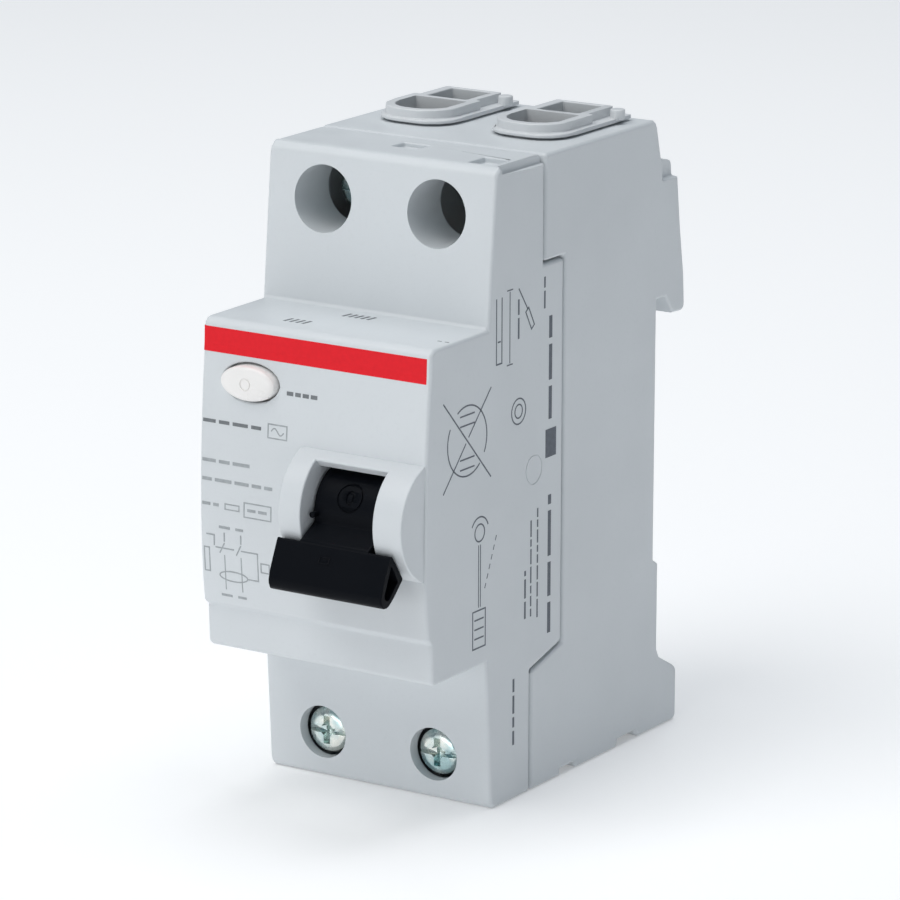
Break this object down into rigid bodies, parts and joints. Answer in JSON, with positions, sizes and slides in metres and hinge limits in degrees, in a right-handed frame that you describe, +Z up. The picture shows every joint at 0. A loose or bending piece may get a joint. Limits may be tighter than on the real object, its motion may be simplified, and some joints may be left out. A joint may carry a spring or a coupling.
{
  "type": "residual current device",
  "caption": "Residual current device for a 35 mm rail, with a rocker handle, test button, screw-driven cage terminals and a sprung rail latch.",
  "frame": {"origin": "centre of the flat face that seats on the rail", "axes": "+X to the device's right seen from the front, +Y out of the back towards the rail, +Z up"},
  "size_m": [0.035, 0.0719, 0.087],
  "materials": {
    "housing": "fine satin moulded",
    "handle": "satin moulded",
    "button": "semi-gloss moulded",
    "zinc": "zinc plated",
    "copper": "satin copper",
    "spring_steel": "drawn wire",
    "frame_steel": "stamped",
    "insulator": "moulded thermoset",
    "relay_case": "moulded",
    "core_alloy": "lacquered strip-wound",
    "resistor": "lacquered"
  },
  "bodies": {
    "housing": {"arc_chute_left": "frame_steel", "arc_chute_right": "frame_steel", "base_housing": "housing", "carrier_axle": "spring_steel", "frame_plate_left": "frame_steel", "frame_plate_right": "frame_steel", "front_cover": "housing", "lower_terminal_bar_left": "copper", "lower_terminal_bar_right": "copper", "primary_conductor_left": "copper", "primary_conductor_right": "copper", "rail_latch_spring": "spring_steel", "secondary_winding": "copper", "terminal_collar_left": "housing", "terminal_collar_right": "housing", "test_button_guide": "insulator", "test_button_spring": "spring_steel", "test_contact_post": "copper", "test_resistor": "resistor", "toggle_axle": "spring_steel", "toggle_spring": "spring_steel", "transformer_core": "core_alloy", "trip_latch_pin": "spring_steel", "trip_latch_spring": "spring_steel", "trip_relay": "relay_case", "upper_contact_bar_left": "copper", "upper_contact_bar_right": "copper"},
    "toggle": {"toggle_lever": "handle"},
    "link": {"drive_link": "frame_steel"},
    "carrier": {"contact_carrier": "insulator", "moving_contact_left": "copper", "moving_contact_right": "copper", "contact_spring_left": "spring_steel", "contact_spring_right": "spring_steel"},
    "trip_latch": {"trip_latch": "insulator"},
    "plunger": {"relay_plunger": "spring_steel"},
    "test_button": {"test_button": "button"},
    "test_blade": {"test_blade": "copper"},
    "rail_latch": {"rail_latch": "housing"},
    "screw_upper_left": {"terminal_screw_upper_left": "zinc"},
    "cage_upper_left": {"terminal_cage_upper_left": "zinc"},
    "screw_upper_right": {"terminal_screw_upper_right": "zinc"},
    "cage_upper_right": {"terminal_cage_upper_right": "zinc"},
    "screw_lower_left": {"terminal_screw_lower_left": "zinc"},
    "cage_lower_left": {"terminal_cage_lower_left": "zinc"},
    "screw_lower_right": {"terminal_screw_lower_right": "zinc"},
    "cage_lower_right": {"terminal_cage_lower_right": "zinc"}
  },
  "joints": [
    {"name": "toggle_hinge", "type": "hinge", "parent": "housing", "child": "toggle", "pos_m": [0, -0.0537, -0.0005], "axis": [-1, 0, 0], "range_deg": [0, 70]},
    {"name": "link_hinge", "type": "hinge", "parent": "toggle", "child": "link", "pos_m": [0, -0.0496, 0.00237], "axis": [1, 0, 0], "range_deg": [0, 70.1]},
    {"name": "carrier_hinge", "type": "hinge", "parent": "housing", "child": "carrier", "pos_m": [0, -0.0127, -0.002], "axis": [1, 0, 0], "range_deg": [0, 17.3]},
    {"name": "plunger_slide", "type": "slide", "parent": "housing", "child": "plunger", "axis": [0, 1, 0], "range_m": [0, 0.0012], "stiffness_N_per_m": 200, "springref_m": -0.001},
    {"name": "trip_latch_hinge", "type": "hinge", "parent": "housing", "child": "trip_latch", "pos_m": [0, -0.028, -0.01], "axis": [1, 0, 0], "range_deg": [0, 10.7]},
    {"name": "test_button_slide", "type": "slide", "parent": "housing", "child": "test_button", "axis": [0, 1, 0], "range_m": [0, 0.0012], "stiffness_N_per_m": 300, "springref_m": -0.003, "deforming": ["test_button_spring"]},
    {"name": "test_blade_hinge", "type": "hinge", "parent": "housing", "child": "test_blade", "pos_m": [-0.0098, -0.04285, 0.0044], "axis": [-1, 0, 0], "range_deg": [0, 7.1]},
    {"name": "rail_latch_slide", "type": "slide", "parent": "housing", "child": "rail_latch", "axis": [0, 0, -1], "range_m": [0, 0.0035], "stiffness_N_per_m": 1000, "springref_m": -0.004, "deforming": ["rail_latch_spring"]},
    {"name": "screw_upper_left_turn", "type": "hinge", "parent": "housing", "child": "screw_upper_left", "pos_m": [-0.00875, -0.0327, 0.03575], "axis": [0, 1, 0], "range_deg": [0, 1801]},
    {"name": "cage_upper_left_slide", "type": "slide", "parent": "housing", "child": "cage_upper_left", "axis": [0, -1, 0], "range_m": [0, 0.004]},
    {"name": "screw_upper_right_turn", "type": "hinge", "parent": "housing", "child": "screw_upper_right", "pos_m": [0.00875, -0.0307, 0.03575], "axis": [0, 1, 0], "range_deg": [0, 1801]},
    {"name": "cage_upper_right_slide", "type": "slide", "parent": "housing", "child": "cage_upper_right", "axis": [0, -1, 0], "range_m": [0, 0.004]},
    {"name": "screw_lower_left_turn", "type": "hinge", "parent": "housing", "child": "screw_lower_left", "pos_m": [-0.00875, -0.0405, -0.0363], "axis": [0, 1, 0], "range_deg": [0, 1801]},
    {"name": "cage_lower_left_slide", "type": "slide", "parent": "housing", "child": "cage_lower_left", "axis": [0, -1, 0], "range_m": [0, 0.004]},
    {"name": "screw_lower_right_turn", "type": "hinge", "parent": "housing", "child": "screw_lower_right", "pos_m": [0.00875, -0.0405, -0.0363], "axis": [0, 1, 0], "range_deg": [0, 1801]},
    {"name": "cage_lower_right_slide", "type": "slide", "parent": "housing", "child": "cage_lower_right", "axis": [0, -1, 0], "range_m": [0, 0.004]}
  ],
  "couplings": [
    {"joint": "link_hinge", "follows": "toggle_hinge", "ratio": 1},
    {"joint": "carrier_hinge", "follows": "toggle_hinge", "ratio": 0.24571},
    {"joint": "trip_latch_hinge", "follows": "plunger_slide", "rad_per_m": 153.85},
    {"joint": "test_blade_hinge", "follows": "test_button_slide", "rad_per_m": 102},
    {"joint": "screw_upper_left_turn", "follows": "cage_upper_left_slide", "rad_per_m": 7854},
    {"joint": "screw_upper_right_turn", "follows": "cage_upper_right_slide", "rad_per_m": 7854},
    {"joint": "screw_lower_left_turn", "follows": "cage_lower_left_slide", "rad_per_m": 7854},
    {"joint": "screw_lower_right_turn", "follows": "cage_lower_right_slide", "rad_per_m": 7854}
  ]
}
